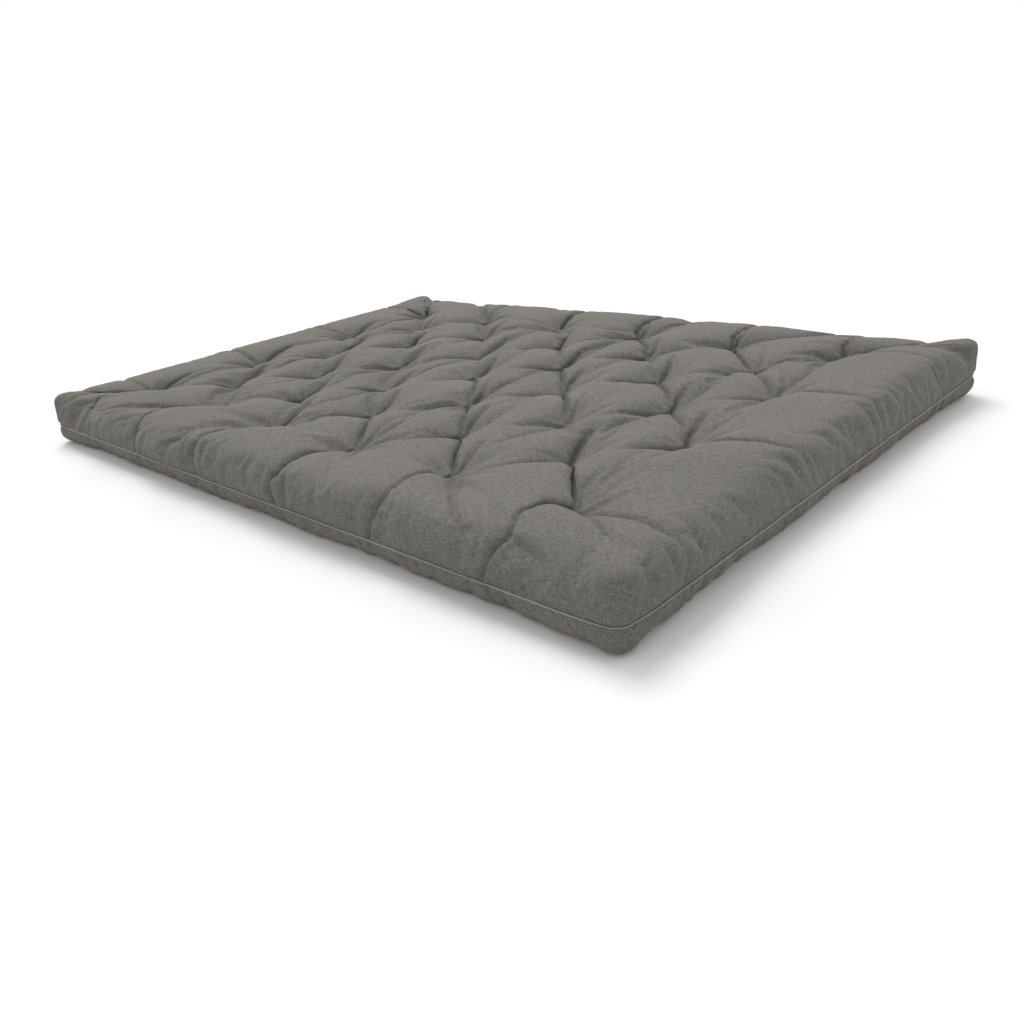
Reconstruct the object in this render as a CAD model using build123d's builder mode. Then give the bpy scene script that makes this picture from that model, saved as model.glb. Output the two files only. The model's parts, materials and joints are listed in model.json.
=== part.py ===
from build123d import *
import os

# A tufted futon mattress, lying flat. Origin at the middle of the underside, +X along the
# length, +Y across the width from the seat side to the back side, +Z up. Millimetres.
# Two cloth panels meet in one seam round the sides. Inside them cotton batting lies above
# and below a foam core, and loops of twine pulled through everything pinch it into tufts.

# The mattress
LENGTH = 1900
WIDTH = 1350
THICKNESS = 140
CORNER_RADIUS = 45

# The casing: two panels of heavy cloth, both turned inwards where they are sewn together
CLOTH = 1.5
SEAM_HEIGHT = 52
SEAM_ALLOWANCE = 12
TOP_RIM_RADIUS = 42
BOTTOM_RIM_RADIUS = 30
WAIST_RADIUS = 8
SEAM_THREAD_RADIUS = 1.2

# The filling, by the heights between its layers. Tufting squeezes it towards one level,
# the underside of the foam, which stays flat.
FOAM_BOTTOM = 36
FOAM_TOP = 88
LOWER_BATTING_SPLIT = 18
UPPER_BATTING_SPLITS = (105, 122)
SQUEEZE = 0.56

# The tufts: seven staggered rows, six tufts in the rows that lie nearest the long edges
TUFT_PITCH = 287
ROW_PITCH = 161
ROWS_EACH_SIDE = 3
TUFTS_IN_LONG_ROW = 6
DIMPLE_FOOT_RADIUS = 8
DIMPLE_SPREAD = 0.6
FILLING_HOLE_RADIUS = 5.5
TWINE_RADIUS = 1
TWINE_SPACING = 8
TWINE_BEND_RADIUS = 1.6
NEEDLE_HOLE_RADIUS = TWINE_RADIUS + 0.3
KNOT_LENGTH = 4.5
KNOT_CHAMFER = 0.7

# The fold: the mattress bends between two rows of tufts, so the back section turns up
FOLD_Y = -ROW_PITCH / 2
FOLD_GAP = 1
SPARE = 20
SECTIONS = {
    "seat": (-WIDTH / 2 - SPARE, FOLD_Y - FOLD_GAP / 2),
    "back": (FOLD_Y + FOLD_GAP / 2, WIDTH / 2 + SPARE),
}


def tuft_places():
    """The middle of every tuft, row by row."""
    places = []
    for row in range(-ROWS_EACH_SIDE, ROWS_EACH_SIDE + 1):
        tufts = TUFTS_IN_LONG_ROW if row % 2 else TUFTS_IN_LONG_ROW - 1
        first = -(tufts - 1) * TUFT_PITCH / 2
        places += [(first + i * TUFT_PITCH, row * ROW_PITCH) for i in range(tufts)]
    return places


def squeezed(height):
    """The height of a filling layer's surface at the middle of a tuft."""
    return FOAM_BOTTOM + SQUEEZE * (height - FOAM_BOTTOM)


TUFTS = tuft_places()
FILLING_BOTTOM = CLOTH
FILLING_TOP = THICKNESS - CLOTH
TUFT_TOP = squeezed(FILLING_TOP) + CLOTH
TUFT_BOTTOM = squeezed(FILLING_BOTTOM) - CLOTH
TIE_TOP = TUFT_TOP + TWINE_BEND_RADIUS
TIE_BOTTOM = TUFT_BOTTOM - 3 * TWINE_RADIUS


def dimples(height, lift=0, mode=Mode.SUBTRACT):
    """Cones at the tufts, from a surface at height to its squeezed level, moved up by lift."""
    depth = abs(height - squeezed(height))
    mouth = DIMPLE_FOOT_RADIUS + DIMPLE_SPREAD * abs(height - FOAM_BOTTOM)
    radii, surface = (DIMPLE_FOOT_RADIUS, mouth), Align.MAX
    if height < FOAM_BOTTOM:
        radii, surface = (mouth, DIMPLE_FOOT_RADIUS), Align.MIN
    with Locations(*[(x, y, height + lift) for x, y in TUFTS]):
        Cone(*radii, depth, align=(Align.CENTER, Align.CENTER, surface), mode=mode)


def needle_holes():
    """Two holes through the cloth at each tuft, for the two legs of the twine."""
    side = TWINE_SPACING / 2
    with Locations(*[(x + leg, y, THICKNESS / 2) for x, y in TUFTS for leg in (-side, side)]):
        Cylinder(NEEDLE_HOLE_RADIUS, 2 * THICKNESS, mode=Mode.SUBTRACT)


def outline(inset):
    """The mattress in plan, drawn in by inset."""
    return RectangleRounded(LENGTH - 2 * inset, WIDTH - 2 * inset, CORNER_RADIUS - inset)


def upper_body(inset):
    """The space above the seam, its rim rounded over and its foot drawn in to the seam."""
    with BuildPart() as body:
        with BuildSketch(Plane.XY.offset(SEAM_HEIGHT + inset)):
            outline(inset)
        extrude(amount=THICKNESS - SEAM_HEIGHT - 2 * inset)
        fillet(body.edges().group_by(Axis.Z)[-1], TOP_RIM_RADIUS - inset)
        fillet(body.edges().group_by(Axis.Z)[0], WAIST_RADIUS - inset)
    return body.part


def lower_body(inset):
    """The space below the seam, its head drawn in to the seam and its rim rounded under."""
    with BuildPart() as body:
        with BuildSketch(Plane.XY.offset(inset)):
            outline(inset)
        extrude(amount=SEAM_HEIGHT - 2 * inset)
        fillet(body.edges().group_by(Axis.Z)[-1], WAIST_RADIUS - inset)
        fillet(body.edges().group_by(Axis.Z)[0], BOTTOM_RIM_RADIUS - inset)
    return body.part


def waist():
    """The opening between the two panels, inside their turned-in seam allowances."""
    with BuildPart() as opening:
        with BuildSketch(Plane.XY.offset(SEAM_HEIGHT - CLOTH)):
            outline(WAIST_RADIUS + SEAM_ALLOWANCE)
        extrude(amount=2 * CLOTH)
    return opening.part


def filling_space():
    """All that lies inside the casing."""
    with BuildPart() as space:
        add(upper_body(CLOTH))
        add(lower_body(CLOTH))
        add(waist())
    return space.part


def panel(body, height, lift):
    """One cloth panel: a body less the same body drawn in, dimpled inside and out."""
    with BuildPart() as hollow:
        add(body(CLOTH))
        dimples(height)
    with BuildPart() as cloth:
        add(body(0))
        dimples(height, lift)
        add(hollow.part, mode=Mode.SUBTRACT)
        add(waist(), mode=Mode.SUBTRACT)
        needle_holes()
    return cloth.part


def filling_layer(space, low, high):
    """One layer of the filling, thinner at the tufts and parted round the twine."""
    near, far = (low, high) if low >= FOAM_BOTTOM else (high, low)
    with BuildPart() as layer:
        add(space)
        with Locations((0, 0, low)):
            upwards = (Align.CENTER, Align.CENTER, Align.MIN)
            Box(LENGTH, WIDTH, high - low, align=upwards, mode=Mode.INTERSECT)
        if near != FOAM_BOTTOM:
            dimples(near, mode=Mode.ADD)
        dimples(far)
        with Locations(*[(x, y, THICKNESS / 2) for x, y in TUFTS]):
            Cylinder(FILLING_HOLE_RADIUS, 2 * THICKNESS, mode=Mode.SUBTRACT)
    return layer.part


def tube(runs, radius):
    """A round tube along each run of a path, all joined."""
    with BuildPart() as joined:
        for run in runs:
            with BuildSketch(Plane(run @ 0, z_dir=run % 0)):
                Circle(radius)
            sweep(path=run)
    return joined.part


def seam_thread():
    """The thread of the side seam, lying in the groove where the two panels turn in."""
    reach = WAIST_RADIUS + SEAM_THREAD_RADIUS
    inset = WAIST_RADIUS - (reach**2 - WAIST_RADIUS**2) ** 0.5
    with BuildSketch(Plane.XY.offset(SEAM_HEIGHT)) as plan:
        outline(inset)
    return tube(plan.sketch.edges(), SEAM_THREAD_RADIUS)


def tuft_ties():
    """One closed loop of twine at each tuft, over the cloth above and knotted below it."""
    with BuildSketch(Plane.XZ) as loop:
        with Locations((0, (TIE_TOP + TIE_BOTTOM) / 2)):
            RectangleRounded(TWINE_SPACING, TIE_TOP - TIE_BOTTOM, TWINE_BEND_RADIUS)
    tie = tube(loop.sketch.edges(), TWINE_RADIUS)
    with BuildPart() as ties:
        with Locations(*TUFTS):
            add(tie)
    return ties.part


def tuft_knots():
    """The knot that closes each loop, a barrel wound round its lowest run against the cloth."""
    with BuildPart() as knot:
        with BuildSketch(Plane.YZ.offset(-KNOT_LENGTH / 2)):
            Circle(3 * TWINE_RADIUS)
        extrude(amount=KNOT_LENGTH)
        chamfer(knot.edges(), KNOT_CHAMFER)
        with BuildSketch(Plane.YZ.offset(-KNOT_LENGTH / 2)):
            Circle(TWINE_RADIUS)
        extrude(amount=KNOT_LENGTH, mode=Mode.SUBTRACT)
    with BuildPart() as knots:
        with Locations(*[(x, y, TIE_BOTTOM) for x, y in TUFTS]):
            add(knot.part)
    return knots.part


def layers():
    """Every layer of the filling by name, from the top down."""
    space = filling_space()
    tops = {
        "upper_batting_3": FILLING_TOP,
        "upper_batting_2": UPPER_BATTING_SPLITS[1],
        "upper_batting_1": UPPER_BATTING_SPLITS[0],
        "foam_core": FOAM_TOP,
        "lower_batting_2": FOAM_BOTTOM,
        "lower_batting_1": LOWER_BATTING_SPLIT,
    }
    bottoms = [*list(tops.values())[1:], FILLING_BOTTOM]
    return {
        name: filling_layer(space, bottom, top)
        for (name, top), bottom in zip(tops.items(), bottoms)
    }


pieces = {
    "top_panel": panel(upper_body, FILLING_TOP, CLOTH),
    "bottom_panel": panel(lower_body, FILLING_BOTTOM, -CLOTH),
    "seam_thread": seam_thread(),
    **layers(),
    "tuft_ties": tuft_ties(),
    "tuft_knots": tuft_knots(),
}

# Every piece but the ties runs unbroken across the fold, and is divided there so that the
# two sections can turn against each other.
os.makedirs("parts", exist_ok=True)
for section, (front, rear) in SECTIONS.items():
    for name, whole in pieces.items():
        with BuildPart() as half:
            add(whole)
            with Locations((0, front, -SPARE)):
                reach = (LENGTH + 2 * SPARE, rear - front, THICKNESS + 2 * SPARE)
                Box(*reach, align=(Align.CENTER, Align.MIN, Align.MIN), mode=Mode.INTERSECT)
        half.part.label = f"{name}_{section}"
        export_step(half.part, f"parts/{name}_{section}.step")
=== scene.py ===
import json
import math
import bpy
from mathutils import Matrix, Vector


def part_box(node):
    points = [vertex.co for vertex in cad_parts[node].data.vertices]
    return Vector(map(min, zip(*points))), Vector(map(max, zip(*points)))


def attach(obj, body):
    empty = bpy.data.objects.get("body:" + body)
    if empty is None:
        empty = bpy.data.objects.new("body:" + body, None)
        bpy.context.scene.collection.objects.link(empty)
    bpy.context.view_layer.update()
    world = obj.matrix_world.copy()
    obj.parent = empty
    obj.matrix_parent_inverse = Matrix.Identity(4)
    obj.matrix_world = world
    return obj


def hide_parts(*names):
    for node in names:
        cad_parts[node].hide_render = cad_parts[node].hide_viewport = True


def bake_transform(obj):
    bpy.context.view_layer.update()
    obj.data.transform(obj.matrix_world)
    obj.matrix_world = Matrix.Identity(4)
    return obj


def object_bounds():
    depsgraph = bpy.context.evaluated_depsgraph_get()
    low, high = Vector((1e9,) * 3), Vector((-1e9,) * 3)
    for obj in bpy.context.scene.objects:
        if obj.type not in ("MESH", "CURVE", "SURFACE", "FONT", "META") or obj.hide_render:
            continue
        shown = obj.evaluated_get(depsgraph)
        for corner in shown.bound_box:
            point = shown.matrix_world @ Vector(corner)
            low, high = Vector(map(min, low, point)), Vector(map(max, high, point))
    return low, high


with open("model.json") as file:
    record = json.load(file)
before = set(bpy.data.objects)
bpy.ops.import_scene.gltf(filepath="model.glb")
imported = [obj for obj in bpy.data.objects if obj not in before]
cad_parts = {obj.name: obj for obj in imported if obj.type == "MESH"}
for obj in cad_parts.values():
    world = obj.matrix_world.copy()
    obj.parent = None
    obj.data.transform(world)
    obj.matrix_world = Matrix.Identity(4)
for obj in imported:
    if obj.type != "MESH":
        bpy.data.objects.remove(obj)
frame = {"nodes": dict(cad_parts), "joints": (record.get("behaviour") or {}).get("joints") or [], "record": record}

from types import SimpleNamespace

import bpy
import numpy as np
from mathutils import Matrix, Vector
from mathutils.kdtree import KDTree

# A tufted futon mattress, lying flat. Metres, in the frame's axes: +X along the length, +Y from
# the seat side to the back side, +Z up. The cover is one closed shell blown up by a cloth
# simulation while its tufts are held down. It is then cut at the seam into its two panels, and
# the filling, the seam thread and the twine are made to fit inside it.

# ---------------------------------------------------------------- sizes, from the frame

CAD_LOW, CAD_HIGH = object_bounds()
LENGTH, WIDTH, THICKNESS = CAD_HIGH - CAD_LOW
SEAM_LOW, SEAM_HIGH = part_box("seam_thread_seat")
SEAM_HEIGHT = (SEAM_LOW.z + SEAM_HIGH.z) / 2
TIES_LOW, TIES_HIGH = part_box("tuft_ties_seat")
TWINE_RADIUS = 0.001
TUFT_TOP = TIES_HIGH.z - 2.6 * TWINE_RADIUS
TUFT_BOTTOM = TIES_LOW.z + 4 * TWINE_RADIUS
FOLD_Y = frame["joints"][0]["pos_m"][1]

# ---------------------------------------------------------------- the cover's cloth

CELL = 0.010

# The rounded box that the cover fills. Its upper rim is tighter near the upright corners, and
# the filled cover is eased back to the box there.
PLAN_CORNER = 0.038
TOP_RIM = 0.058
BOTTOM_RIM = 0.035
CORNER_REACH = 0.14
CORNER_TIGHTNESS = 0.45
CORNER_KEPT = 0.85
CORNER_KEPT_REACH = 0.11

# What the twine and the seam hold, and the seam's turned-in edge. The edge's own weave
# coordinates lie far from the panel's.
TUFT_HELD_RADIUS = 0.0075
TUFT_GATHER = 0.4
SEAM_INSET = 0.005
SEAM_CORNER_INSET = 0.006
SEAM_CORNER_REACH = 0.05
WELT = 0.003
HEM_STEPS = (-WELT, 0.004, 0.012)
HEM_GAP = 0.0008
HEM_AWAY = 10.0
HEM_STRIP = 0.01

# How much larger than the box the cloth is cut, as a share: most along X, where it gathers
# into folds across the width, and less beyond the tufts and at the seam.
SLACK_ALONG = 0.080
SLACK_ACROSS = 0.030
SLACK_DIRECTION = math.radians(10)
SLACK_AT_RIM = 0.035
SLACK_BELOW = 0.035
SLACK_AT_SEAM = 0.025
SLACK_IN_HEIGHT = 0.05
SLACK_IN_LOWER_HEIGHT = 0.15
SLACK_RIPPLE = 0.0006
SLACK_NOISE = 0.0004

# The simulation that fills the cover, and how use has flattened its crowns and underside.
LAST_FRAME = 30
PINCHED_FRAME = 10
CROWN_FROM, CROWN_LIMIT = 0.118, 0.142
FLAT_BELOW = 0.006

# The creases: the grooves that start them before the cover is filled, how deep they are cut and
# how far the cloth beside them is drawn in afterwards.
CREASE_SEED = 0.008
CREASE_SEED_WIDTH = 0.012
CREASE_DEPTH = 0.009
CREASE_WIDTH = 0.0050
PINCH = 0.35
PINCH_WIDTH = 0.020
PINCH_MOST = 0.6
PINCH_LEAST = 0.02
SHARPEN = 1.3
SHARPEN_ROUNDS = 4
TUFT_PULL_WIDTH = 0.012
TUFT_PULL_REACH = 0.05

# The creases' courses on the spread-out cloth, as steps from their tufts along X and Y.
CREASE_UP = ((-0.018, 0.06), (-0.042, 0.13))
CREASE_TICK = ((-0.032, 0.026), (-0.060, 0.055))
CREASE_BELOW = ((-0.022, -0.035), (-0.050, -0.085))
CREASE_WANDER = 0.008

# The creases between tufts of two rows fade in from left to right over twice this length.
LINKS_REACH = 0.25

# How far the spread-out cloth goes past the rim, above and below the seam.
ABOVE_SEAM = 0.088
BELOW_SEAM = 0.052

ROW_TOLERANCE = 0.01

# ---------------------------------------------------------------- the thread and the twine

STITCH_PITCH = 0.0052
STITCH_STEPS = 6
STITCH_THIN = 0.0005
STITCH_SWELL = 0.0007
STITCH_STAND = 0.0008
THREAD_SIDES = 6
STRANDS = 2
STRAND_PITCH = 0.004
STRAND_STEPS = 8
STRAND_SIDES = 5
STRAND_SHARE = 0.52
KNOT_TURNS = 3
KNOT_STEPS = 12
KNOT_LENGTH = 0.00294
KNOT_WIND = 0.0018
KNOT_TWINE_RADIUS = 0.0009
KNOT_SIDES = 6

# ---------------------------------------------------------------- the filling

FILLING_CELL = 0.018
FILLING_MARGIN = 0.045
FILLING_CLEARANCE = 0.002
FILLING_SIDE_ROOM = 0.032
FILLING_GAP = 0.0004
FILLING_FUZZ = 0.0006


def tuft_places():
    """The middle of every tuft, from the frame's knots, row by row from the seat side."""
    apart = 0.05
    names = ("tuft_knots_seat", "tuft_knots_back")
    points = np.array([v.co[:2] for n in names for v in frame["nodes"][n].data.vertices])
    places = []
    while len(points):
        near = np.hypot(*(points - points[0]).T) < apart
        places.append((points[near].min(0) + points[near].max(0)) / 2)
        points = points[~near]
    return np.array(sorted(places, key=lambda p: (round(p[1], 3), p[0])))


TUFTS = tuft_places()
ROWS = sorted(set(TUFTS[:, 1].round(3)))
ROW_PITCH = ROWS[1] - ROWS[0]
TUFT_PITCH = TUFTS[1, 0] - TUFTS[0, 0]


def shell_lattice(cell):
    """A closed box of square cells: vertex indices (i, j, k), quads and the side each is on."""
    nx, ny = 2 * round(LENGTH / cell / 2), 2 * round(WIDTH / cell / 2)
    below = max(2, round(SEAM_HEIGHT / cell))
    nz = below + max(3, round((THICKNESS - SEAM_HEIGHT) / cell))
    index, faces, sides = {}, [], []

    def add_face(side, *corners):
        faces.append([index.setdefault(c, len(index)) for c in corners])
        sides.append(side)

    for i in range(nx):
        for j in range(ny):
            add_face("top", (i, j, nz), (i + 1, j, nz), (i + 1, j + 1, nz), (i, j + 1, nz))
            add_face("bottom", (i, j, 0), (i, j + 1, 0), (i + 1, j + 1, 0), (i + 1, j, 0))
    for k in range(nz):
        for i in range(nx):
            add_face("near", (i, 0, k), (i + 1, 0, k), (i + 1, 0, k + 1), (i, 0, k + 1))
            add_face("far", (i, ny, k), (i, ny, k + 1), (i + 1, ny, k + 1), (i + 1, ny, k))
        for j in range(ny):
            add_face("left", (0, j, k), (0, j, k + 1), (0, j + 1, k + 1), (0, j + 1, k))
            add_face("right", (nx, j, k), (nx, j + 1, k), (nx, j + 1, k + 1), (nx, j, k + 1))
    at = np.array(list(index))
    heights = np.concatenate(
        [
            np.linspace(0, SEAM_HEIGHT, below + 1),
            np.linspace(SEAM_HEIGHT, THICKNESS, nz - below + 1)[1:],
        ]
    )
    box = np.stack(
        [
            at[:, 0] / nx * LENGTH - LENGTH / 2,
            at[:, 1] / ny * WIDTH - WIDTH / 2,
            heights[at[:, 2]],
        ],
        axis=1,
    )
    return SimpleNamespace(
        index=index, at=at, faces=np.array(faces), sides=np.array(sides), box=box,
        nx=nx, ny=ny, nz=nz, seam=below,
    )


def rounded(box):
    """The box with its upright corners and its upper and lower rims rounded."""
    half = np.array([LENGTH, WIDTH]) / 2
    heart = box[:, :2].clip(PLAN_CORNER - half, half - PLAN_CORNER)
    arm = box[:, :2] - heart
    inset = PLAN_CORNER - np.abs(arm).max(axis=1)
    upper = box[:, 2] >= SEAM_HEIGHT
    depth = np.where(upper, THICKNESS - box[:, 2], box[:, 2])
    from_corner = np.linalg.norm(half - np.abs(box[:, :2]), axis=1)
    tighter = 1 - CORNER_TIGHTNESS * np.exp(-((from_corner / CORNER_REACH) ** 2))
    rim = np.where(upper, TOP_RIM * tighter, BOTTOM_RIM)
    a, b = np.maximum(rim - inset, 0), np.maximum(rim - depth, 0)
    share = np.maximum(a, b) / np.maximum(np.hypot(a, b), 1e-9)
    on_rim = (a > 0) & (b > 0)
    inset = np.where(on_rim, rim - a * share, inset)
    depth = np.where(on_rim, rim - b * share, depth)
    length = np.maximum(np.linalg.norm(arm, axis=1), 1e-9)
    plan = heart + arm * ((PLAN_CORNER - inset) / length)[:, None]
    height = np.where(upper, THICKNESS - depth, depth)
    return np.column_stack([plan, height])


def cloth_coordinates(grid, side, corners):
    """Where corners of a face lie on its panel, spread out flat: sides continue past the rim."""
    x, y, z = grid.box[corners].T
    upper = grid.at[corners][:, 2].min() >= grid.seam
    drop = THICKNESS - z if upper else z
    out = {"left": (-1, 0), "right": (1, 0), "near": (0, -1), "far": (0, 1)}.get(side, (0, 0))
    return np.stack([x + out[0] * drop, y + out[1] * drop], axis=1)


def smooth_step(t):
    """0 up to t = 0, 1 from t = 1 on, and a smooth rise between them."""
    t = min(max(t, 0.0), 1.0)
    return t * t * (3 - 2 * t)


def creases(upper):
    """The folds that run out of the tufts, on one panel's spread-out cloth. Each is its points,
    its strength at the tuft, and the share of it that is gone at the other end."""
    draw = np.random.default_rng(5 if upper else 6)
    (up_x, up_y), (up_end_x, up_end_y) = CREASE_UP
    (tick_x, tick_y), (tick_end_x, tick_end_y) = CREASE_TICK
    (below_x, below_y), (below_end_x, below_end_y) = CREASE_BELOW
    lines = []
    for x, y in TUFTS:
        strength = draw.uniform(0.6, 1.4)
        wander = draw.normal(0, CREASE_WANDER, 6)
        linked = smooth_step((x + LINKS_REACH) / (2 * LINKS_REACH)) * draw.choice([0.2, 1.0, 1.3])
        up = [(x, y), (x + up_x + wander[0], y + up_y), (x + up_end_x + wander[1], y + up_end_y)]
        lines.append((up, strength * 1.3, 0.7))
        tick = [(x, y), (x + tick_x + wander[2], y + tick_y)]
        tick.append((x + tick_end_x, y + tick_end_y + wander[3]))
        lines.append((tick, strength * 0.35, 0.9))
        if y > ROWS[0] + ROW_TOLERANCE:
            middle = (x + TUFT_PITCH / 4 + wander[2] / 2, y - ROW_PITCH / 2 + wander[3] / 2)
            down = [(x, y), middle, (x + TUFT_PITCH / 2, y - ROW_PITCH)]
            lines.append((down, strength * linked, 0.6))
            below = [(x, y), (x + below_x, y + below_y + wander[4])]
            below.append((x + below_end_x + wander[5], y + below_end_y + wander[4]))
            lines.append((below, 1.1 * strength, 0.75))
    return lines + rim_creases(upper)


def rim_creases(upper):
    """The folds that run from the outer tufts over the rim and down the sides. On the lower
    panel they carry on from the seam and die out under the mattress."""
    draw = np.random.default_rng(7)
    lines = []
    for x, y in TUFTS:
        if abs(y) > abs(ROWS[0]) - ROW_TOLERANCE:
            lines += long_side_folds(draw, x, y, upper)
    for x, y in TUFTS:
        if abs(x) > TUFT_PITCH * 2.2:
            lines += end_folds(draw, x, y, upper)
    return lines


def long_side_folds(draw, x, y, upper):
    """One tuft's fold down a long side, and the wrinkles next to it."""
    out = math.copysign(1, y)
    edge = WIDTH / 2
    lean = draw.normal(-0.040, 0.012)
    strength = draw.uniform(1.1, 1.7)
    foot = x + lean * 0.8
    if upper:
        run = [(x, y), (x + lean * 0.7, y + out * 0.04), (x + lean, y + out * 0.10)]
        run += [(x + lean * 0.6, out * (edge - 0.01)), (foot, out * (edge + 0.04))]
        fold = (run + [(foot, out * (edge + ABOVE_SEAM))], strength, 0.5)
    else:
        run = [(foot, out * (edge + BELOW_SEAM)), (x + lean * 0.7, out * edge)]
        fold = (run + [(x + lean, out * (edge - 0.05))], strength * 0.55, 0.9)
    return [fold] + wrinkles(draw, (foot, out * edge), (1, 0), (0, out), upper)


def end_folds(draw, x, y, upper):
    """One tuft's fold down an end, and the wrinkles next to it."""
    out = math.copysign(1, x)
    edge = LENGTH / 2
    lean = draw.normal(0.0, 0.02)
    strength = draw.uniform(0.5, 1.0)
    if upper:
        run = [(x, y), (x + out * 0.10, y + lean * 0.6), (out * (edge - 0.02), y + lean)]
        fold = (run + [(out * (edge + 0.08), y + lean * 1.2)], strength, 0.7)
    else:
        run = [(out * (edge + BELOW_SEAM), y + lean), (out * (edge - 0.03), y + lean * 0.6)]
        fold = (run, strength * 0.5, 0.9)
    return [fold] + wrinkles(draw, (out * edge, y + lean), (0, 1), (out, 0), upper)


def wrinkles(draw, rim, along, outward, upper):
    """Short wrinkles across a side next to one of its folds, each strongest at its middle. rim
    is where the fold meets the rim, and along and outward are unit steps from there."""
    rim, along, outward = np.array(rim), np.array(along), np.array(outward)
    lines = []
    for way in (-1, 1, 1):
        away = way * draw.uniform(0.018, 0.045)
        middle = draw.uniform(0.015, 0.045) if upper else 0.036
        reach = draw.uniform(0.035, 0.065) if upper else 0.035
        tilt = draw.normal(0, 0.006)
        strength = draw.uniform(0.20, 0.45)
        start = rim + along * away + outward * middle
        for half in (-1, 1):
            end = rim + along * (away + half * tilt) + outward * (middle + half * reach)
            lines.append(([start, end], strength, 0.9))
    return lines


def crease_pull(flat, lines, width):
    """How strongly creases draw each point of the spread-out cloth, and where to: the strength
    is 1 on a crease of strength 1 where it leaves its tuft, and less further out."""
    strongest = np.zeros(len(flat))
    total = np.full(len(flat), 1e-9)
    feet = flat * 1e-9
    for points, strength, fade in lines:
        points = np.array(points)
        low, high = points.min(0) - 3 * width, points.max(0) + 3 * width
        near = np.flatnonzero(((flat > low) & (flat < high)).all(axis=1))
        best = np.full(len(near), np.inf)
        along = np.zeros(len(near))
        foot = flat[near]
        steps = len(points) - 1
        for step, (a, b) in enumerate(zip(points[:-1], points[1:])):
            run = b - a
            t = (((flat[near] - a) @ run) / (run @ run)).clip(0, 1)
            place = a + t[:, None] * run
            gap = ((flat[near] - place) ** 2).sum(axis=1)
            closer = gap < best
            best = np.where(closer, gap, best)
            along = np.where(closer, (step + t) / steps, along)
            foot = np.where(closer[:, None], place, foot)
        pull = strength * (1 - fade * along) * np.exp(-best / width**2)
        strongest[near] = np.maximum(strongest[near], pull)
        total[near] += pull**2
        feet[near] += (pull**2)[:, None] * foot
    return strongest, feet / total[:, None]


def face_normals(points, faces):
    a, b, c, d = (points[faces[:, n]] for n in range(4))
    return np.cross(c - a, d - b)


def vertex_normals(points, faces):
    """A unit normal at every vertex, from the faces round it."""
    across = face_normals(points, faces)
    total = np.zeros_like(points)
    for corner in range(4):
        np.add.at(total, faces[:, corner], across)
    return total / np.maximum(np.linalg.norm(total, axis=1), 1e-12)[:, None]


def slack_shape(grid, start):
    """The cloth before it is filled: cut a little larger than the mattress in every direction."""
    x, y, z = start.T
    upper = z >= SEAM_HEIGHT
    along = np.array([math.cos(SLACK_DIRECTION), math.sin(SLACK_DIRECTION)])
    across = np.array([-along[1], along[0]])
    stretch = np.eye(2) + SLACK_ALONG * np.outer(along, along)
    stretch += SLACK_ACROSS * np.outer(across, across)
    plan = start[:, :2]
    field = np.abs(TUFTS).max(axis=0)
    inner = plan.clip(-field, field)
    above = inner @ stretch.T + (plan - inner) * (1 + SLACK_AT_RIM)
    below = plan * (1 + SLACK_BELOW)
    from_seam = np.where(
        upper, (z - SEAM_HEIGHT) / (THICKNESS - SEAM_HEIGHT), 1 - z / SEAM_HEIGHT
    )[:, None]
    at_seam = plan * (1 + SLACK_AT_SEAM)
    slack = start.copy()
    slack[:, :2] = at_seam + from_seam * (np.where(upper[:, None], above, below) - at_seam)
    extra = np.where(upper, SLACK_IN_HEIGHT, SLACK_IN_LOWER_HEIGHT)
    slack[:, 2] = SEAM_HEIGHT + (z - SEAM_HEIGHT) * (1 + extra)
    draw = np.random.default_rng(11)
    ripples, shortest = 6, 9
    for axis in (0, 1):
        waves = draw.uniform(-shortest, shortest, (ripples, 2))
        phases = draw.uniform(0, 2 * math.pi, ripples)
        ripple = np.sin(plan @ waves.T + phases).sum(axis=1)
        slack[:, axis] += SLACK_RIPPLE * ripple * (grid.at[:, 2] == grid.nz)
    return slack + draw.normal(0, SLACK_NOISE, slack.shape)


def held_points(grid, start):
    """The vertices that the thread holds, the tufts and the seam, and where they are held."""
    held = start.copy()
    seam = grid.at[:, 2] == grid.seam
    fixed = seam.copy()
    reach = max(TUFT_HELD_RADIUS, CELL * 0.7)
    for place in TUFTS:
        gap = np.hypot(*(start[:, :2] - place).T)
        for level, height in ((grid.nz, TUFT_TOP), (0, TUFT_BOTTOM)):
            near = (grid.at[:, 2] == level) & (gap < reach)
            held[near, 2] = height
            held[near, :2] = place + (start[near, :2] - place) * TUFT_GATHER
            fixed |= near
    half = np.array([LENGTH, WIDTH]) / 2
    plan = held[seam, :2].clip(SEAM_INSET - half, half - SEAM_INSET)
    from_corner = np.linalg.norm(half - np.abs(plan), axis=1)[:, None]
    pull = SEAM_CORNER_INSET * np.exp(-((from_corner / SEAM_CORNER_REACH) ** 2))
    held[seam, :2] = plan - np.sign(plan) * pull
    return held, fixed


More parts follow.
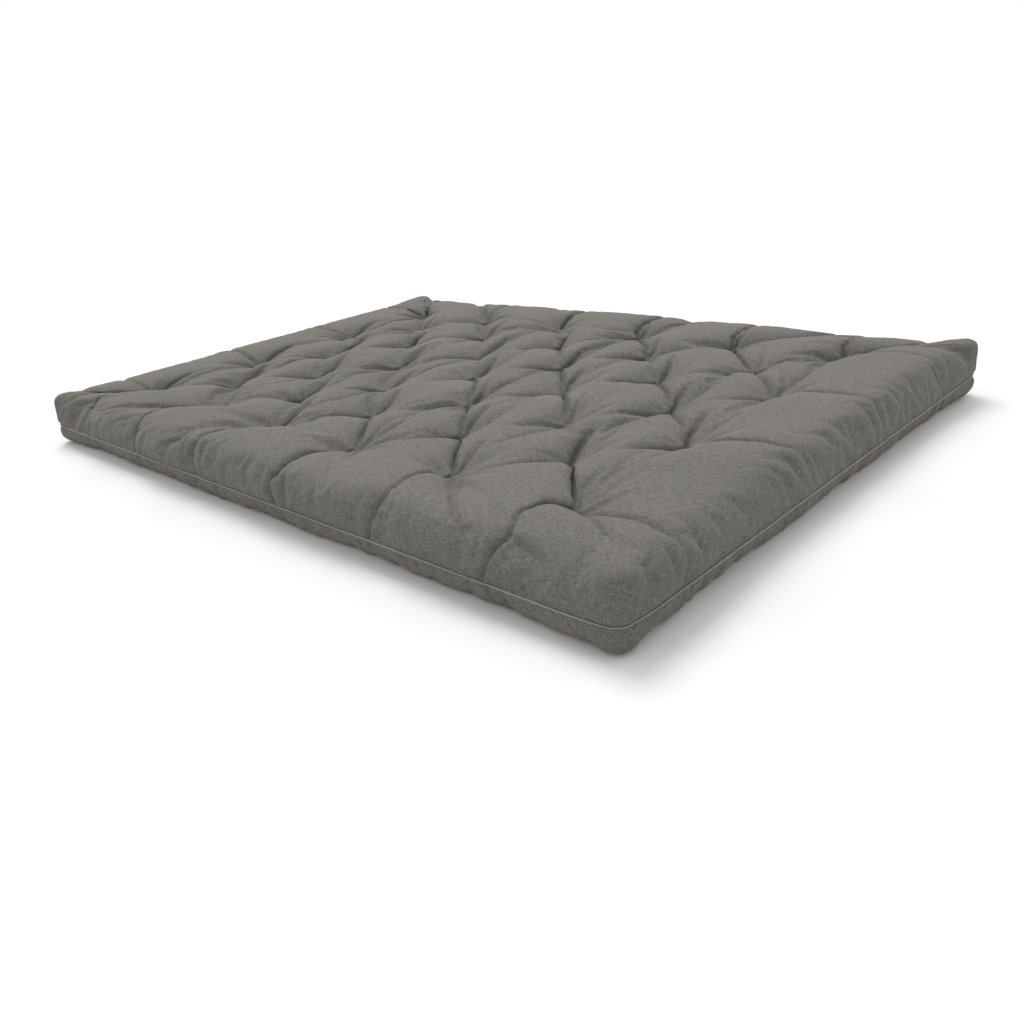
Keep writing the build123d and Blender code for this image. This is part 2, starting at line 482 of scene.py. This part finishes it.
def blown_up(grid):
    """The cover filled: a cloth simulation with pressure inside, pinched at tufts and seam."""
    start = rounded(grid.box)
    slack = slack_shape(grid, start)
    flat = vertex_cloth_coordinates(grid)
    seeds, _ = crease_pull(flat, creases(True), CREASE_SEED_WIDTH)
    seeds[grid.at[:, 2] < grid.seam] = 0
    slack -= CREASE_SEED * seeds[:, None] * vertex_normals(start, grid.faces)
    held, fixed = held_points(grid, start)
    mesh = bpy.data.meshes.new("filled_cover")
    mesh.from_pydata(slack.tolist(), [], grid.faces.tolist())
    cover = bpy.data.objects.new("filled_cover", mesh)
    scene = bpy.context.scene
    scene.collection.objects.link(cover)
    cover.shape_key_add(name="Basis")
    pinch = cover.shape_key_add(name="pinched")
    pinch.data.foreach_set("co", held.ravel())
    pinch.value = 0
    pinch.keyframe_insert("value", frame=1)
    pinch.value = 1
    pinch.keyframe_insert("value", frame=PINCHED_FRAME)
    group = cover.vertex_groups.new(name="held")
    group.add(np.flatnonzero(fixed).tolist(), 1.0, "REPLACE")
    cloth = cover.modifiers.new("Cloth", "CLOTH")
    cloth.settings.quality = 4
    cloth.settings.mass = 0.3
    cloth.settings.tension_stiffness = 30
    cloth.settings.compression_stiffness = 20
    cloth.settings.shear_stiffness = 5
    cloth.settings.bending_stiffness = 0.05
    cloth.settings.air_damping = 2
    cloth.settings.vertex_group_mass = "held"
    cloth.settings.use_pressure = True
    cloth.settings.uniform_pressure_force = 5
    cloth.settings.effector_weights.gravity = 0
    cloth.collision_settings.use_collision = False
    cloth.point_cache.frame_end = LAST_FRAME
    scene.frame_start = 1
    scene.frame_end = LAST_FRAME
    for number in range(1, LAST_FRAME + 1):
        scene.frame_set(number)
    points = evaluated_points(cover)
    scene.frame_set(1)
    bpy.data.objects.remove(cover)
    return points


def evaluated_points(item):
    """The vertices of an object with its modifiers applied."""
    graph = bpy.context.evaluated_depsgraph_get()
    return mesh_points(item.evaluated_get(graph).to_mesh())


def vertex_cloth_coordinates(grid):
    """The spread-out place of each vertex of the upper panel."""
    x, y, z = grid.box.T
    drop = THICKNESS - z
    out_x = (grid.at[:, 0] == grid.nx) * 1.0 - (grid.at[:, 0] == 0)
    out_y = (grid.at[:, 1] == grid.ny) * 1.0 - (grid.at[:, 1] == 0)
    return np.stack([x + out_x * drop, y + out_y * drop], axis=1)


def pressed(value, start, limit):
    """value, bent smoothly from start on so that it never passes limit."""
    room = limit - start
    over = np.maximum(value - start, 0)
    return np.where(value > start, start + room * (1 - np.exp(-over / room)), value)


def settled(points, grid):
    """The filled cover as it lies: crowns flattened by use, underside flat on what it rests on,
    and the corners, where cloth would bunch up, kept near the rounded box."""
    plump, _ = held_points(grid, rounded(grid.box))
    from_corner = np.linalg.norm(np.array([LENGTH, WIDTH]) / 2 - np.abs(plump[:, :2]), axis=1)
    kept = CORNER_KEPT * np.exp(-((from_corner / CORNER_KEPT_REACH) ** 2))
    points = points + kept[:, None] * (plump - points)
    points[:, 2] = pressed(points[:, 2], CROWN_FROM, CROWN_LIMIT)
    points[:, 2] = -pressed(-points[:, 2], -FLAT_BELOW, 0.0)
    return points


# ---------------------------------------------------------------- meshes


def new_mesh_object(name, points, faces, material):
    mesh = bpy.data.meshes.new(name)
    mesh.from_pydata([tuple(p) for p in points], [], [tuple(map(int, f)) for f in faces])
    mesh.polygons.foreach_set("use_smooth", [True] * len(mesh.polygons))
    mesh.materials.append(material)
    mesh.update()
    item = bpy.data.objects.new(name, mesh)
    bpy.context.scene.collection.objects.link(item)
    return item


def mesh_points(mesh):
    points = np.empty(len(mesh.vertices) * 3)
    mesh.vertices.foreach_get("co", points)
    return points.reshape(-1, 3)


def mesh_quads(mesh):
    corners = np.empty(len(mesh.loops), int)
    mesh.loops.foreach_get("vertex_index", corners)
    return corners.reshape(-1, 4)


def set_points(mesh, points):
    mesh.vertices.foreach_set("co", np.asarray(points, float).ravel())
    mesh.update()


def subdivide(item):
    """Gives the object's mesh one level of subdivision."""
    modifier = item.modifiers.new("Subdivision", "SUBSURF")
    modifier.levels = 1
    modifier.render_levels = 1
    graph = bpy.context.evaluated_depsgraph_get()
    finer = bpy.data.meshes.new_from_object(item.evaluated_get(graph))
    old = item.data
    item.modifiers.clear()
    item.data = finer
    bpy.data.meshes.remove(old)
    finer.name = item.name


def seam_loop(grid):
    """The lattice columns round the seam, in order, seen from above anticlockwise."""
    nx, ny = grid.nx, grid.ny
    loop = [(i, 0) for i in range(nx)] + [(nx, j) for j in range(ny)]
    loop += [(i, ny) for i in range(nx, 0, -1)] + [(0, j) for j in range(ny, 0, -1)]
    return [grid.index[(i, j, grid.seam)] for i, j in loop]


def loop_normals(path):
    """Level unit normals pointing out of a closed loop that runs anticlockwise."""
    ahead = np.roll(path, -1, axis=0) - np.roll(path, 1, axis=0)
    out = np.stack([ahead[:, 1], -ahead[:, 0], np.zeros(len(path))], axis=1)
    return out / np.linalg.norm(out, axis=1)[:, None]


def panel_mesh(name, grid, points, upper, material):
    """One panel of the cover, with its edge turned in at the seam, laid out for the weave."""
    level = grid.at[grid.faces][:, :, 2]
    chosen = level.min(axis=1) >= grid.seam if upper else level.max(axis=1) <= grid.seam
    faces = grid.faces[chosen]
    used = np.unique(faces)
    renumber = np.full(len(points), -1)
    renumber[used] = np.arange(len(used))
    loop = np.array(seam_loop(grid))
    rim = points[loop]
    inwards = -loop_normals(rim)
    lift = HEM_GAP if upper else -HEM_GAP
    rings = [renumber[loop]]
    all_points = [points[used]]
    count = len(used)
    for step in HEM_STEPS:
        all_points.append(rim + inwards * step + [0, 0, lift])
        rings.append(np.arange(count, count + len(loop)))
        count += len(loop)
    quads = [renumber[faces]]
    coordinates = [
        cloth_coordinates(grid, side, corners)
        for side, corners in zip(grid.sides[chosen], faces)
    ]
    run = np.concatenate([[0], np.cumsum(np.linalg.norm(np.diff(rim, axis=0), axis=1))])
    for depth, (outer, inner) in enumerate(zip(rings[:-1], rings[1:])):
        ring = np.stack([outer, np.roll(outer, -1), np.roll(inner, -1), inner], axis=1)
        quads.append(ring[:, ::-1] if upper else ring)
        for a in run:
            corner = [(a, depth), (a + CELL, depth), (a + CELL, depth + 1), (a, depth + 1)]
            strip = np.array(corner) * (1, HEM_STRIP) + HEM_AWAY
            coordinates.append(strip[::-1] if upper else strip)
    item = new_mesh_object(name, np.concatenate(all_points), np.concatenate(quads), material)
    layer = item.data.uv_layers.new(name="cloth")
    layer.data.foreach_set("uv", np.concatenate(coordinates).ravel())
    return item


def neighbour_mean(points, faces):
    """Each vertex's mean neighbour along the quads' edges."""
    total = np.zeros_like(points)
    count = np.zeros(len(points))
    for a in range(4):
        for b in ((a + 1) % 4, (a + 3) % 4):
            np.add.at(total, faces[:, a], points[faces[:, b]])
            np.add.at(count, faces[:, a], 1)
    return total / count[:, None]


def sharpened(points, faces, amount, rounds):
    """Folds made crisper: each vertex moves away from a smoothed copy of the surface."""
    smooth = points
    for _ in range(rounds):
        smooth = (smooth + neighbour_mean(smooth, faces)) / 2
    return points + amount * (points - smooth)


def tightened(points, flat, lines):
    """Creases drawn together: the cloth beside each one moves towards its bottom."""
    pull, feet = crease_pull(flat, lines, PINCH_WIDTH)
    tree = KDTree(len(points))
    for number, (u, v) in enumerate(flat):
        tree.insert((u, v, 0), number)
    tree.balance()
    moving = np.flatnonzero(pull > PINCH_LEAST)
    bottoms = [tree.find((*feet[n], 0))[1] for n in moving]
    result = points.copy()
    share = (PINCH * pull[moving]).clip(0, PINCH_MOST)
    result[moving] += share[:, None] * (points[bottoms] - points[moving])
    return result


def finish_panel(item, upper):
    """Subdivides a panel, then sharpens its folds, cuts its creases and pulls in its tufts."""
    subdivide(item)
    mesh = item.data
    points, faces = mesh_points(mesh), mesh_quads(mesh)
    flat = np.zeros((len(points), 2))
    spread = np.empty(len(mesh.loops) * 2)
    mesh.uv_layers["cloth"].data.foreach_get("uv", spread)
    flat[faces.ravel()] = spread.reshape(-1, 2)
    lines = creases(upper)
    points = sharpened(points, faces, SHARPEN, SHARPEN_ROUNDS)
    points = tightened(points, flat, lines)
    depth, _ = crease_pull(flat, lines, CREASE_WIDTH)
    points -= CREASE_DEPTH * depth[:, None] * vertex_normals(points, faces)
    height = TUFT_TOP if upper else TUFT_BOTTOM
    for place in TUFTS:
        gap = np.hypot(*(points[:, :2] - place).T)
        middle = points[gap.argmin()]
        pull = np.exp(-((gap / TUFT_PULL_WIDTH) ** 2))
        points[:, 2] += (height - middle[2]) * pull * (gap < TUFT_PULL_REACH)
    points[:, 2] = np.maximum(points[:, 2], 0.0)
    set_points(mesh, points)
    return item


# ---------------------------------------------------------------- pieces


def across_the_fold(item, slot, *nodes, fill=None):
    """A piece that stands for its two CAD halves: its transform is baked into its mesh and both halves are hidden.
    """
    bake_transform(item)
    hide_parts(*[f"{node}_{section}" for node in nodes for section in ("seat", "back")])
    return item


def tube_rings(path, normals, radii, sides):
    """Vertices and quads of a round tube along a closed path, given level normals beside it."""
    up = np.array([0, 0, 1.0])
    turns = np.arange(sides) * 2 * math.pi / sides
    points = [
        centre + radius * (math.cos(turn) * normal + math.sin(turn) * up)
        for centre, normal, radius in zip(path, normals, radii)
        for turn in turns
    ]
    faces = []
    rings = len(path)
    for ring in range(rings):
        after = (ring + 1) % rings
        for side in range(sides):
            beside = (side + 1) % sides
            faces.append(
                (
                    ring * sides + side, after * sides + side,
                    after * sides + beside, ring * sides + beside,
                )
            )
    return np.array(points), faces


def evenly_spaced(path, spacing):
    """A closed path walked at even steps."""
    closed = np.vstack([path, path[:1]])
    run = np.concatenate([[0], np.cumsum(np.linalg.norm(np.diff(closed, axis=0), axis=1))])
    count = int(run[-1] / spacing)
    marks = np.arange(count) * run[-1] / count
    return np.stack([np.interp(marks, run, closed[:, axis]) for axis in range(3)], axis=1)


def seam_thread(grid, points, material):
    """The side seam's thread: a row of small tight stitches lying along the join."""
    path = evenly_spaced(points[seam_loop(grid)], STITCH_PITCH / STITCH_STEPS)
    path = path[: len(path) // STITCH_STEPS * STITCH_STEPS]
    normals = loop_normals(path)
    phase = np.arange(len(path)) % STITCH_STEPS / STITCH_STEPS
    swell = np.sin(math.pi * phase) ** 0.6
    radii = STITCH_THIN + STITCH_SWELL * swell
    path = path + normals * (WELT - STITCH_THIN + STITCH_STAND * swell)[:, None]
    ring_points, faces = tube_rings(path, normals, radii, THREAD_SIDES)
    item = new_mesh_object("seam_thread", ring_points, faces, material)
    return across_the_fold(item, "seam_thread", "seam_thread")


def filling_levels():
    """The heights between the filling's layers, as shares of the thickness, from the frame."""
    low = [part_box(f"{name}_seat")[0].z for name in ("lower_batting_1", "lower_batting_2")]
    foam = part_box("foam_core_seat")
    names = ("upper_batting_1", "upper_batting_2", "upper_batting_3")
    high = [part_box(f"{name}_seat")[1].z for name in names]
    return [z / THICKNESS for z in [*low, foam[0].z, foam[1].z, *high]]


FILLING = (
    "lower_batting_1", "lower_batting_2", "foam_core",
    "upper_batting_1", "upper_batting_2", "upper_batting_3",
)


def lowest_nearby(values):
    """values on a grid, each taken down to the lowest of itself and its neighbours."""
    padded = np.pad(values, 1, mode="edge")
    nx, ny = values.shape
    return np.min([padded[i : i + nx, j : j + ny] for i in range(3) for j in range(3)], axis=0)


def cover_heights(mesh, upper):
    """The lowest that the cover comes over each cell of a grid, or the highest it lies below."""
    points = mesh_points(mesh)
    sign = 1 if upper else -1
    reach = np.array([LENGTH, WIDTH]) / 2 - FILLING_MARGIN
    counts = (2 * reach / FILLING_CELL).astype(int) + 1
    cell = 2 * reach / (counts - 1)
    place = np.rint((points[:, :2] + reach) / cell).astype(int)
    inside = ((place >= 0) & (place < counts)).all(axis=1)
    heights = np.full(counts, np.inf)
    np.minimum.at(heights, tuple(place[inside].T), sign * points[inside, 2])
    return sign * (lowest_nearby(lowest_nearby(heights)) - FILLING_CLEARANCE)


def filling_plan(share, counts):
    """A grid of places that fills the cover's rounded outline at one share of its height."""
    height = share * THICKNESS
    radius = TOP_RIM if share > 0.5 else BOTTOM_RIM
    over = max(0, height - (THICKNESS - TOP_RIM), BOTTOM_RIM - height)
    inset = FILLING_SIDE_ROOM + radius - math.sqrt(radius**2 - over**2)
    half = np.array([LENGTH, WIDTH]) / 2 - inset
    lines = [np.linspace(-h, h, count) for h, count in zip(half, counts)]
    plan = np.dstack(np.meshgrid(*lines, indexing="ij"))
    heart = plan.clip(TOP_RIM - half, half - TOP_RIM)
    arm = plan - heart
    length = np.linalg.norm(arm, axis=2)
    reach = np.abs(arm).max(axis=2) / np.maximum(length, 1e-9)
    return heart + arm * reach[..., None]


def filling_layer(name, floor, ceiling, shares, material, seed):
    """One closed layer between two shares of the height, with a soft uneven surface."""
    counts = floor.shape
    draw = np.random.default_rng(seed)
    surfaces = []
    for share, side in zip(shares, (1, -1)):
        heights = floor + (ceiling - floor) * share
        heights += side * (FILLING_GAP + draw.uniform(0, FILLING_FUZZ, counts))
        plan = filling_plan(share, counts)
        surfaces.append(np.dstack([plan, heights]).reshape(-1, 3))
    base = counts[0] * counts[1]

    def vertex(i, j, upper):
        return upper * base + i * counts[1] + j

    faces = []
    for i in range(counts[0] - 1):
        for j in range(counts[1] - 1):
            square = ((i, j), (i + 1, j), (i + 1, j + 1), (i, j + 1))
            faces.append([vertex(*c, 1) for c in square])
            faces.append([vertex(*c, 0) for c in square[::-1]])
    last_i, last_j = counts[0] - 1, counts[1] - 1
    rim = [(i, 0) for i in range(last_i)] + [(last_i, j) for j in range(last_j)]
    rim += [(i, last_j) for i in range(last_i, 0, -1)] + [(0, j) for j in range(last_j, 0, -1)]
    for a, b in zip(rim, rim[1:] + rim[:1]):
        faces.append([vertex(*a, 0), vertex(*b, 0), vertex(*b, 1), vertex(*a, 1)])
    return new_mesh_object(name, np.concatenate(surfaces), faces, material)


def make_filling(top, bottom, batting, foam):
    """The six layers inside the cover."""
    ceiling = cover_heights(top.data, True)
    floor = cover_heights(bottom.data, False)
    levels = filling_levels()
    for number, name in enumerate(FILLING):
        is_foam = name == "foam_core"
        shares = (levels[number], levels[number + 1])
        material = foam if is_foam else batting
        layer = filling_layer(name, floor, ceiling, shares, material, number)
        across_the_fold(layer, "foam" if is_foam else "cotton_batting", name, fill=0.9)


def twine_loop(place, top, bottom):
    """Points round one tuft's loop of twine, up one leg, over the cloth and down the other."""
    half = TIES_HIGH.x - TUFTS[:, 0].max() - TWINE_RADIUS
    bend = 1.6 * TWINE_RADIUS
    path = []
    for centre_x, centre_z, first in (
        (half - bend, top - bend, 0),
        (bend - half, top - bend, 90),
        (bend - half, bottom + bend, 180),
        (half - bend, bottom + bend, 270),
    ):
        for turn in range(0, 91, 30):
            angle = math.radians(first + turn)
            path.append((centre_x + bend * math.cos(angle), centre_z + bend * math.sin(angle)))
    return np.array([(place[0] + x, place[1], z) for x, z in path])


def twisted_strands(path, radius):
    """Strands of twine wound round a closed path in an upright plane across Y."""
    fine = evenly_spaced(path, STRAND_PITCH / STRAND_STEPS)
    ahead = np.roll(fine, -1, axis=0) - np.roll(fine, 1, axis=0)
    ahead /= np.linalg.norm(ahead, axis=1)[:, None]
    side = np.tile([0, 1.0, 0], (len(fine), 1))
    other = np.cross(ahead, side)
    turns = max(1, round(len(fine) / STRAND_STEPS))
    ring_turns = np.arange(STRAND_SIDES) * 2 * math.pi / STRAND_SIDES
    points, faces = [], []
    for strand in range(STRANDS):
        angle = np.arange(len(fine)) / len(fine) * 2 * math.pi * turns
        angle += 2 * math.pi * strand / STRANDS
        centre = fine + radius / 2 * (
            np.cos(angle)[:, None] * side + np.sin(angle)[:, None] * other
        )
        base = len(points)
        for middle, a, b in zip(centre, side, other):
            for turn in ring_turns:
                offset = math.cos(turn) * a + math.sin(turn) * b
                points.append(middle + radius * STRAND_SHARE * offset)
        for ring in range(len(fine)):
            here = base + ring * STRAND_SIDES
            after = base + (ring + 1) % len(fine) * STRAND_SIDES
            for n in range(STRAND_SIDES):
                m = (n + 1) % STRAND_SIDES
                faces.append([here + n, here + m, after + m, after + n])
    return points, faces


def joined(parts):
    """Several (points, faces) as one."""
    points, faces = [], []
    for part_points, part_faces in parts:
        base = len(points)
        points.extend(part_points)
        faces.extend([[base + c for c in face] for face in part_faces])
    return points, faces


def section_tufts(section):
    seat = TUFTS[:, 1] < FOLD_Y
    return TUFTS[seat if section == "seat" else ~seat]


def make_ties(section, material):
    """Every tuft's loop of twisted twine in one section."""
    top, bottom = TIES_HIGH.z - TWINE_RADIUS, TIES_LOW.z + TWINE_RADIUS
    parts = [
        twisted_strands(twine_loop(place, top, bottom), TWINE_RADIUS)
        for place in section_tufts(section)
    ]
    item = new_mesh_object(f"tuft_ties_{section}_twine", *joined(parts), material)
    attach(item, section)
    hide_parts(f"tuft_ties_{section}")


def knot_coil(place, level):
    """One knot: a few turns of twine wound round the loop's lowest run, packed side by side."""
    count = KNOT_TURNS * KNOT_STEPS
    t = np.arange(count + 1) / count
    angle = 2 * math.pi * KNOT_TURNS * t
    path = np.stack(
        [
            place[0] + (t - 0.5) * KNOT_LENGTH,
            place[1] + KNOT_WIND * np.cos(angle),
            level + KNOT_WIND * np.sin(angle),
        ],
        axis=1,
    )
    radial = np.stack([0 * angle, np.cos(angle), np.sin(angle)], axis=1)
    along = np.tile([1.0, 0, 0], (count + 1, 1))
    points, faces = [], []
    for middle, a, b in zip(path, radial, along):
        for n in range(KNOT_SIDES):
            turn = n * 2 * math.pi / KNOT_SIDES
            offset = math.cos(turn) * a + math.sin(turn) * b
            points.append(middle + KNOT_TWINE_RADIUS * offset)
    for ring in range(count):
        here, after = ring * KNOT_SIDES, (ring + 1) * KNOT_SIDES
        for n in range(KNOT_SIDES):
            m = (n + 1) % KNOT_SIDES
            faces.append([here + n, here + m, after + m, after + n])
    faces.append(list(range(KNOT_SIDES - 1, -1, -1)))
    faces.append([count * KNOT_SIDES + n for n in range(KNOT_SIDES)])
    return points, faces


def make_knots(section, material):
    """The knot under every tuft in one section."""
    level = TIES_LOW.z + TWINE_RADIUS
    parts = [knot_coil(place, level) for place in section_tufts(section)]
    item = new_mesh_object(f"tuft_knots_{section}_twine", *joined(parts), material)
    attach(item, section)
    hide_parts(f"tuft_knots_{section}")


# ---------------------------------------------------------------- materials


def slot_colour(name):
    """The base colour that the record gives a material slot."""
    found = [m for m in frame["record"]["materials"] if m["slot"] == name]
    return tuple(found[0]["base_color"][:3])


def shaded(colour, factor):
    return (*[min(1.0, c * factor) for c in colour], 1.0)


class Nodes:
    """A short way to write a material's nodes."""

    def __init__(self, name):
        self.material = bpy.data.materials.new(name)
        self.material.use_nodes = True
        self.tree = self.material.node_tree
        self.shader = self.tree.nodes["Principled BSDF"]

    def add(self, kind, settings=(), **inputs):
        node = self.tree.nodes.new(kind)
        for key, value in dict(settings).items():
            setattr(node, key, value)
        for key, value in inputs.items():
            self.put(node, key.replace("_", " "), value)
        return node

    def put(self, node, key, value):
        numbered = key[0] == "i" and key[1:].isdigit()
        socket = node.inputs[int(key[1:]) if numbered else key]
        if isinstance(value, bpy.types.NodeSocket):
            self.tree.links.new(value, socket)
        else:
            socket.default_value = value

    def math(self, operation, a, b=0.0, c=0.0):
        node = self.add("ShaderNodeMath", {"operation": operation}, i0=a, i1=b, i2=c)
        return node.outputs[0]

    def noise(self, vector, scale, detail=2.0, roughness=0.5):
        node = self.add(
            "ShaderNodeTexNoise", Vector=vector, Scale=scale, Detail=detail, Roughness=roughness
        )
        return node.outputs["Fac"]

    def stretched(self, vector, x, y, z=1.0):
        node = self.add("ShaderNodeMapping", Vector=vector, Scale=(x, y, z))
        return node.outputs["Vector"]

    def range(self, value, low, high, new_low, new_high):
        node = self.add("ShaderNodeMapRange", i0=value, i1=low, i2=high, i3=new_low, i4=new_high)
        return node.outputs[0]

    def colours(self, value, *stops):
        node = self.add("ShaderNodeValToRGB", Fac=value)
        ramp = node.color_ramp
        while len(ramp.elements) < len(stops):
            ramp.elements.new(0.5)
        for element, (position, colour) in zip(ramp.elements, stops):
            element.position = position
            element.color = colour
        return node.outputs["Color"]

    def bump(self, height, strength, distance):
        node = self.add("ShaderNodeBump", Height=height, Strength=strength, Distance=distance)
        return node.outputs["Normal"]

    def surface(self, **inputs):
        for key, value in inputs.items():
            self.put(self.shader, key.replace("_", " "), value)
        return self.material


def casing_cloth():
    """Heavy plain-woven canvas: uneven warp and weft threads, slubs, a little fuzz."""
    base = slot_colour("casing_cloth")
    n = Nodes("casing_cloth")
    cloth = n.add("ShaderNodeUVMap", {"uv_map": "cloth"}).outputs["UV"]
    thread, slub_width, slub_length, fleck_size, patch_size = 0.0011, 0.0019, 0.012, 0.0022, 0.25
    warp_slub = n.noise(n.stretched(cloth, 1 / slub_width, 1 / slub_length), 1.0, 1.5, 0.6)
    weft_slub = n.noise(n.stretched(cloth, 1 / slub_length, 1 / slub_width), 1.0, 1.5, 0.6)
    fleck = n.noise(cloth, 1 / fleck_size, 2.0, 0.7)
    broad = n.noise(cloth, 1 / patch_size, 3.0, 0.5)
    threads = n.math("ADD", warp_slub, weft_slub)
    tone = n.math("ADD", n.math("MULTIPLY", threads, 0.42), n.math("MULTIPLY", fleck, 0.10))
    tone = n.math("ADD", tone, n.math("MULTIPLY", broad, 0.12))
    colour = n.colours(
        tone,
        (0.36, shaded(base, 0.44)),
        (0.53, shaded(base, 0.86)),
        (0.70, shaded(base, 1.36)),
    )
    split = n.add("ShaderNodeSeparateXYZ", Vector=cloth)
    waves = []
    for axis, drift in (("X", weft_slub), ("Y", warp_slub)):
        turns = n.math("MULTIPLY", split.outputs[axis], math.pi / thread)
        turns = n.math("ADD", turns, n.math("MULTIPLY", drift, 5.0))
        waves.append(n.math("SINE", turns))
    weave = n.math("MULTIPLY", waves[0], waves[1])
    relief = n.math("ADD", n.math("MULTIPLY", weave, 0.25), n.math("MULTIPLY", threads, 0.9))
    relief = n.math("ADD", relief, n.math("MULTIPLY", fleck, 0.3))
    rough = n.range(tone, 0.3, 0.7, 0.96, 0.84)
    return n.surface(
        Base_Color=colour,
        Roughness=rough,
        Normal=n.bump(relief, 0.55, 0.0006),
        Sheen_Weight=0.10,
        Sheen_Roughness=0.45,
        Sheen_Tint=(1.0, 0.93, 0.82, 1.0),
        Specular_IOR_Level=0.25,
    )


def spun_thread(name, slot, light):
    """Twisted spun thread with a few stray fibres. A light above 1 paints the thread lighter than its own colour,
    as a painted highlight.
    """
    base = slot_colour(slot)
    n = Nodes(name)
    place = n.add("ShaderNodeTexCoord").outputs["Object"]
    fibre = n.noise(place, 900.0, 3.0, 0.6)
    blotch = n.noise(place, 40.0, 2.0, 0.5)
    tone = n.math("ADD", n.math("MULTIPLY", fibre, 0.7), n.math("MULTIPLY", blotch, 0.3))
    # light scales both colour stops: above 1 it is a painted highlight, not the thread's own colour.
    colour = n.colours(tone, (0.3, shaded(base, 0.7 * light)), (0.7, shaded(base, 1.3 * light)))
    return n.surface(
        Base_Color=colour,
        Roughness=n.range(tone, 0.3, 0.7, 0.75, 0.6),
        Normal=n.bump(fibre, 0.6, 0.0003),
        Sheen_Weight=0.15,
    )


def felted_cotton():
    """Unbleached cotton batting: matted fibres with seed flecks."""
    base = slot_colour("cotton_batting")
    n = Nodes("cotton_batting")
    place = n.add("ShaderNodeTexCoord").outputs["Object"]
    drift = n.noise(place, 12.0, 3.0, 0.6)
    fibre = n.noise(n.stretched(place, 60.0, 420.0, 200.0), 1.0, 4.0, 0.7)
    fleck = n.noise(place, 320.0, 1.0, 0.4)
    speck = n.range(fleck, 0.70, 0.74, 0.0, 0.25)
    tone = n.math("SUBTRACT", n.math("MULTIPLY", n.math("ADD", drift, fibre), 0.5), speck)
    colour = n.colours(
        tone,
        (0.25, shaded(base, 0.62)),
        (0.50, shaded(base, 0.95)),
        (0.75, shaded(base, 1.10)),
    )
    return n.surface(
        Base_Color=colour,
        Roughness=n.range(tone, 0.2, 0.8, 1.0, 0.9),
        Normal=n.bump(n.math("ADD", fibre, drift), 0.8, 0.002),
        Sheen_Weight=0.3,
    )


def open_cell_foam():
    """Cream polyurethane foam: small open cells, a little yellowed."""
    base = slot_colour("foam")
    n = Nodes("foam")
    place = n.add("ShaderNodeTexCoord").outputs["Object"]
    cells = n.add("ShaderNodeTexVoronoi", Vector=place, Scale=700.0).outputs["Distance"]
    age = n.noise(place, 6.0, 3.0, 0.5)
    tone = n.math("ADD", n.math("MULTIPLY", cells, 0.5), n.math("MULTIPLY", age, 0.6))
    colour = n.colours(tone, (0.2, shaded(base, 0.7)), (0.6, shaded(base, 1.0)))
    return n.surface(
        Base_Color=colour,
        Roughness=n.range(age, 0.3, 0.7, 0.95, 0.85),
        Normal=n.bump(cells, 0.7, 0.0008),
    )


def pale_floor():
    """Plain off-white studio floor."""
    n = Nodes("studio_floor")
    place = n.add("ShaderNodeTexCoord").outputs["Object"]
    mottle = n.noise(place, 3.0, 3.0, 0.5)
    colour = n.colours(mottle, (0.3, (0.72, 0.72, 0.715, 1)), (0.7, (0.76, 0.76, 0.755, 1)))
    return n.surface(Base_Color=colour, Roughness=0.6)


# ---------------------------------------------------------------- stage, light and camera


def make_floor(material):
    half = 60.0
    corners = [(-half, -half, 0), (half, -half, 0), (half, half, 0), (-half, half, 0)]
    floor = new_mesh_object("studio_floor", corners, [(0, 1, 2, 3)], material)


def make_light():
    """Plain soft studio light: an even white world and one broad key light from the far left."""
    world = bpy.data.worlds.new("studio")
    bpy.context.scene.world = world
    world.use_nodes = True
    background = world.node_tree.nodes["Background"]
    background.inputs["Color"].default_value = (1.0, 1.0, 1.0, 1.0)
    background.inputs["Strength"].default_value = 1.0
    lamp = bpy.data.lights.new("key", "SUN")
    lamp.energy = 1.6
    lamp.angle = math.radians(30)
    key = bpy.data.objects.new("key", lamp)
    key.rotation_euler = Vector((-0.45, 0.25, 0.86)).to_track_quat("Z", "Y").to_euler()
    bpy.context.scene.collection.objects.link(key)
    bpy.context.scene.view_settings.view_transform = "Standard"


def make_camera():
    """The photograph's viewpoint: low over the near right corner, tilted a little."""
    place = Vector((1.5751, -1.4581, 0.6801))
    aim = Vector((0.4635, -0.3743, 0.0))
    roll = -0.1081
    data = bpy.data.cameras.new("camera")
    data.lens = 31.4
    data.sensor_width = 36.0
    camera = bpy.data.objects.new("camera", data)
    forward = (aim - place).normalized()
    level = forward.cross(Vector((0, 0, 1))).normalized()
    upright = level.cross(forward)
    right = level * math.cos(roll) + upright * math.sin(roll)
    up = upright * math.cos(roll) - level * math.sin(roll)
    matrix = Matrix((right, up, -forward)).transposed().to_4x4()
    matrix.translation = place
    camera.matrix_world = matrix
    bpy.context.scene.collection.objects.link(camera)
    bpy.context.scene.camera = camera


# ---------------------------------------------------------------- the scene


def make_mattress():
    """Every piece, from the cover inwards."""
    cloth = casing_cloth()
    grid = shell_lattice(CELL)
    points = settled(blown_up(grid), grid)
    top = finish_panel(panel_mesh("top_panel", grid, points, True, cloth), True)
    across_the_fold(top, "casing_cloth", "top_panel", fill=0.8)
    bottom = finish_panel(panel_mesh("bottom_panel", grid, points, False, cloth), False)
    across_the_fold(bottom, "casing_cloth", "bottom_panel", fill=0.8)
    # The seam thread is painted 1.5 times lighter than its own colour: a painted highlight that makes it read as a
    # light line against the shade of the seam's groove.
    seam_thread(grid, points, spun_thread("seam_thread", "seam_thread", 1.5))
    make_filling(top, bottom, felted_cotton(), open_cell_foam())
    twine = spun_thread("tufting_twine", "tufting_twine", 1.0)
    for section in ("seat", "back"):
        make_ties(section, twine)
        make_knots(section, twine)


make_mattress()
make_floor(pale_floor())
make_light()
make_camera()
